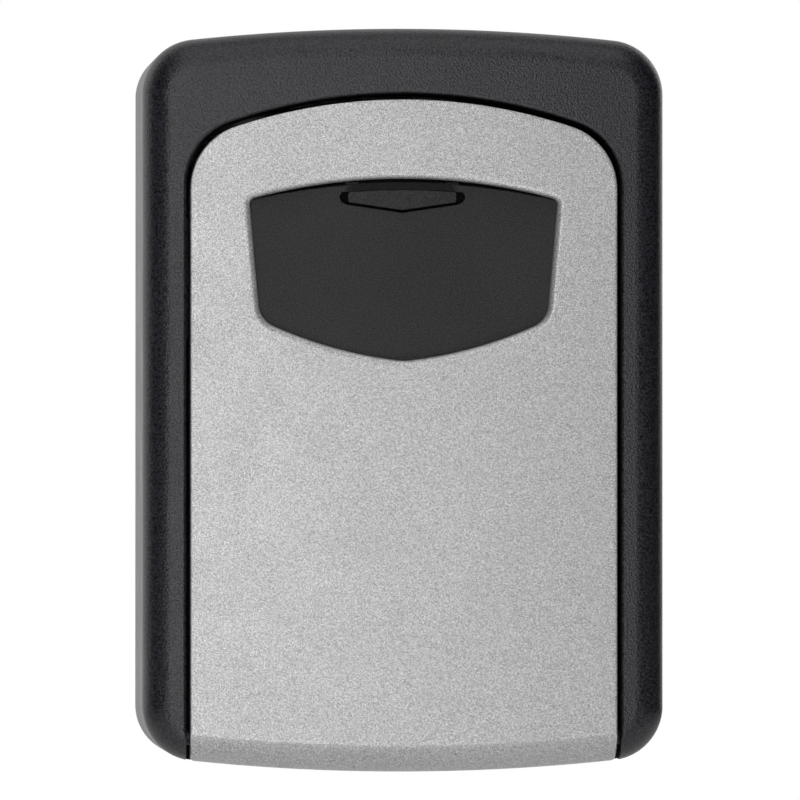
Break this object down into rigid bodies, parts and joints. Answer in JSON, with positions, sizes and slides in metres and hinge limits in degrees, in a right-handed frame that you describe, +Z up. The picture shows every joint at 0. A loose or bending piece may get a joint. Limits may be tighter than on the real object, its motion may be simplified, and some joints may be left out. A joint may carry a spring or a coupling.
{
  "type": "combination key safe",
  "caption": "Wall-mounted key safe: dark cast case, silver drop-down door with a sliding shutter over number dials, sprung latch and code-change lever.",
  "frame": {"origin": "centre of the flat back, on the wall plane", "axes": "+Y into the wall, the door faces -Y, +Z up, +X to the right of a person facing the door"},
  "size_m": [0.085, 0.04, 0.12],
  "materials": {
    "case_paint": "dark grey fine-textured powder paint on a casting",
    "door_paint": "silver metallic paint on a casting",
    "shutter_black": "smooth matte",
    "black_plastic": "matte",
    "dial_black": "satin",
    "hub_brass": "satin",
    "steel": "ground",
    "plated_steel": "zinc plated",
    "spring_steel": "bright",
    "white_plastic": "satin",
    "button_plastic": "satin"
  },
  "bodies": {
    "case": {"housing": "case_paint", "hinge_pin_left": "steel", "hinge_pin_right": "steel"},
    "door": {"door_face": "door_paint", "dial_carrier": "black_plastic", "detent_spring": "spring_steel", "mechanism_cover": "black_plastic", "cover_screws": "plated_steel", "latch_spring_left": "spring_steel", "latch_spring_right": "spring_steel", "slide_spring_left": "spring_steel", "slide_spring_right": "spring_steel"},
    "shutter": {"shutter": "shutter_black"},
    "dial_1": {"dial_1": "dial_black"},
    "dial_2": {"dial_2": "dial_black"},
    "dial_3": {"dial_3": "dial_black"},
    "dial_4": {"dial_4": "dial_black"},
    "change_carriage": {"spindle": "steel", "spindle_clip": "steel", "change_lever": "white_plastic"},
    "hub_1": {"hub_1": "hub_brass"},
    "hub_2": {"hub_2": "hub_brass"},
    "hub_3": {"hub_3": "hub_brass"},
    "hub_4": {"hub_4": "hub_brass"},
    "lock_slide": {"slide_frame": "plated_steel", "open_button": "button_plastic"},
    "latch": {"latch_plate": "plated_steel"}
  },
  "joints": [
    {"name": "door_hinge", "type": "hinge", "parent": "case", "child": "door", "pos_m": [0, -0.0343, -0.0543], "axis": [1, 0, 0], "range_deg": [0, 100]},
    {"name": "shutter_slide", "type": "slide", "parent": "door", "child": "shutter", "axis": [0, 0, -1], "range_m": [0, 0.022]},
    {"name": "dial_1_turn", "type": "hinge", "parent": "door", "child": "dial_1", "pos_m": [0, -0.0276, 0.0275], "axis": [1, 0, 0], "continuous": true},
    {"name": "dial_2_turn", "type": "hinge", "parent": "door", "child": "dial_2", "pos_m": [0, -0.0276, 0.0275], "axis": [1, 0, 0], "continuous": true},
    {"name": "dial_3_turn", "type": "hinge", "parent": "door", "child": "dial_3", "pos_m": [0, -0.0276, 0.0275], "axis": [1, 0, 0], "continuous": true},
    {"name": "dial_4_turn", "type": "hinge", "parent": "door", "child": "dial_4", "pos_m": [0, -0.0276, 0.0275], "axis": [1, 0, 0], "continuous": true},
    {"name": "change_slide", "type": "slide", "parent": "door", "child": "change_carriage", "axis": [1, 0, 0], "range_m": [0, 0.0016]},
    {"name": "hub_1_turn", "type": "hinge", "parent": "change_carriage", "child": "hub_1", "pos_m": [0, -0.0276, 0.0275], "axis": [1, 0, 0], "continuous": true},
    {"name": "hub_2_turn", "type": "hinge", "parent": "change_carriage", "child": "hub_2", "pos_m": [0, -0.0276, 0.0275], "axis": [1, 0, 0], "continuous": true},
    {"name": "hub_3_turn", "type": "hinge", "parent": "change_carriage", "child": "hub_3", "pos_m": [0, -0.0276, 0.0275], "axis": [1, 0, 0], "continuous": true},
    {"name": "hub_4_turn", "type": "hinge", "parent": "change_carriage", "child": "hub_4", "pos_m": [0, -0.0276, 0.0275], "axis": [1, 0, 0], "continuous": true},
    {"name": "button_slide", "type": "slide", "parent": "door", "child": "lock_slide", "axis": [0, 0, -1], "range_m": [0, 0.003], "stiffness_N_per_m": 400, "springref_m": -0.004, "deforming": ["slide_spring_left", "slide_spring_right"]},
    {"name": "latch_slide", "type": "slide", "parent": "door", "child": "latch", "axis": [0, 0, -1], "range_m": [-0.003, 0], "stiffness_N_per_m": 300, "springref_m": -0.006, "deforming": ["latch_spring_left", "latch_spring_right"]}
  ],
  "couplings": [
    {"joint": "hub_1_turn", "follows": "dial_1_turn", "ratio": 1},
    {"joint": "hub_2_turn", "follows": "dial_2_turn", "ratio": 1},
    {"joint": "hub_3_turn", "follows": "dial_3_turn", "ratio": 1},
    {"joint": "hub_4_turn", "follows": "dial_4_turn", "ratio": 1}
  ]
}
